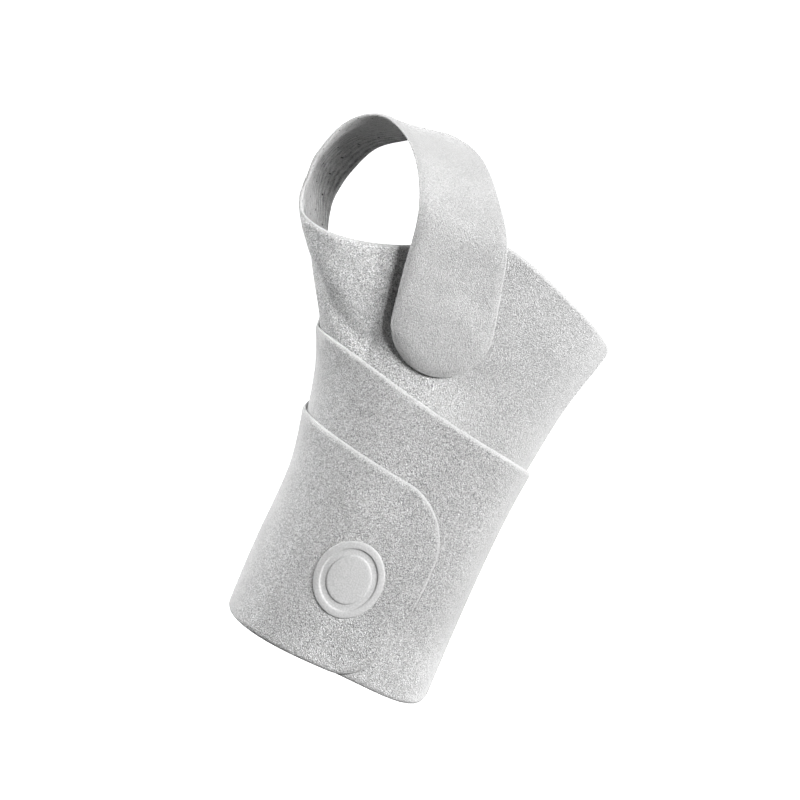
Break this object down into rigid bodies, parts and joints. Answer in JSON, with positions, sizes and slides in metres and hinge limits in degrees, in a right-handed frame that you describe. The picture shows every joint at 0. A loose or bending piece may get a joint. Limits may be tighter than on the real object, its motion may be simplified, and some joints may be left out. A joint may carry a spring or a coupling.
{
  "type": "wrist brace",
  "caption": "Thin wrap-around cloth wrist brace, wound round the forearm with a rounded front tab and a thumb strap that closes on the front.",
  "frame": {"origin": "middle of the lower opening, on the axis of the forearm, at the height of the lower edge", "axes": "+Z along the forearm towards the hand, +X across the front to the side away from the thumb, +Y from the front with the tab to the back"},
  "size_m": [0.1159, 0.064, 0.1852],
  "materials": {
    "nap_cloth": "light grey laminated cloth with a short nap and pressed cut edges",
    "moulded_badge": "matt moulded relief, light grey",
    "hook_tape": "plain hook tape, mid grey"
  },
  "bodies": {
    "root": {"hand_wrap": "nap_cloth", "wrist_strap": "nap_cloth", "badge": "moulded_badge", "tab_hook_patch": "hook_tape", "thumb_hook_patch": "hook_tape"}
  },
  "joints": []
}
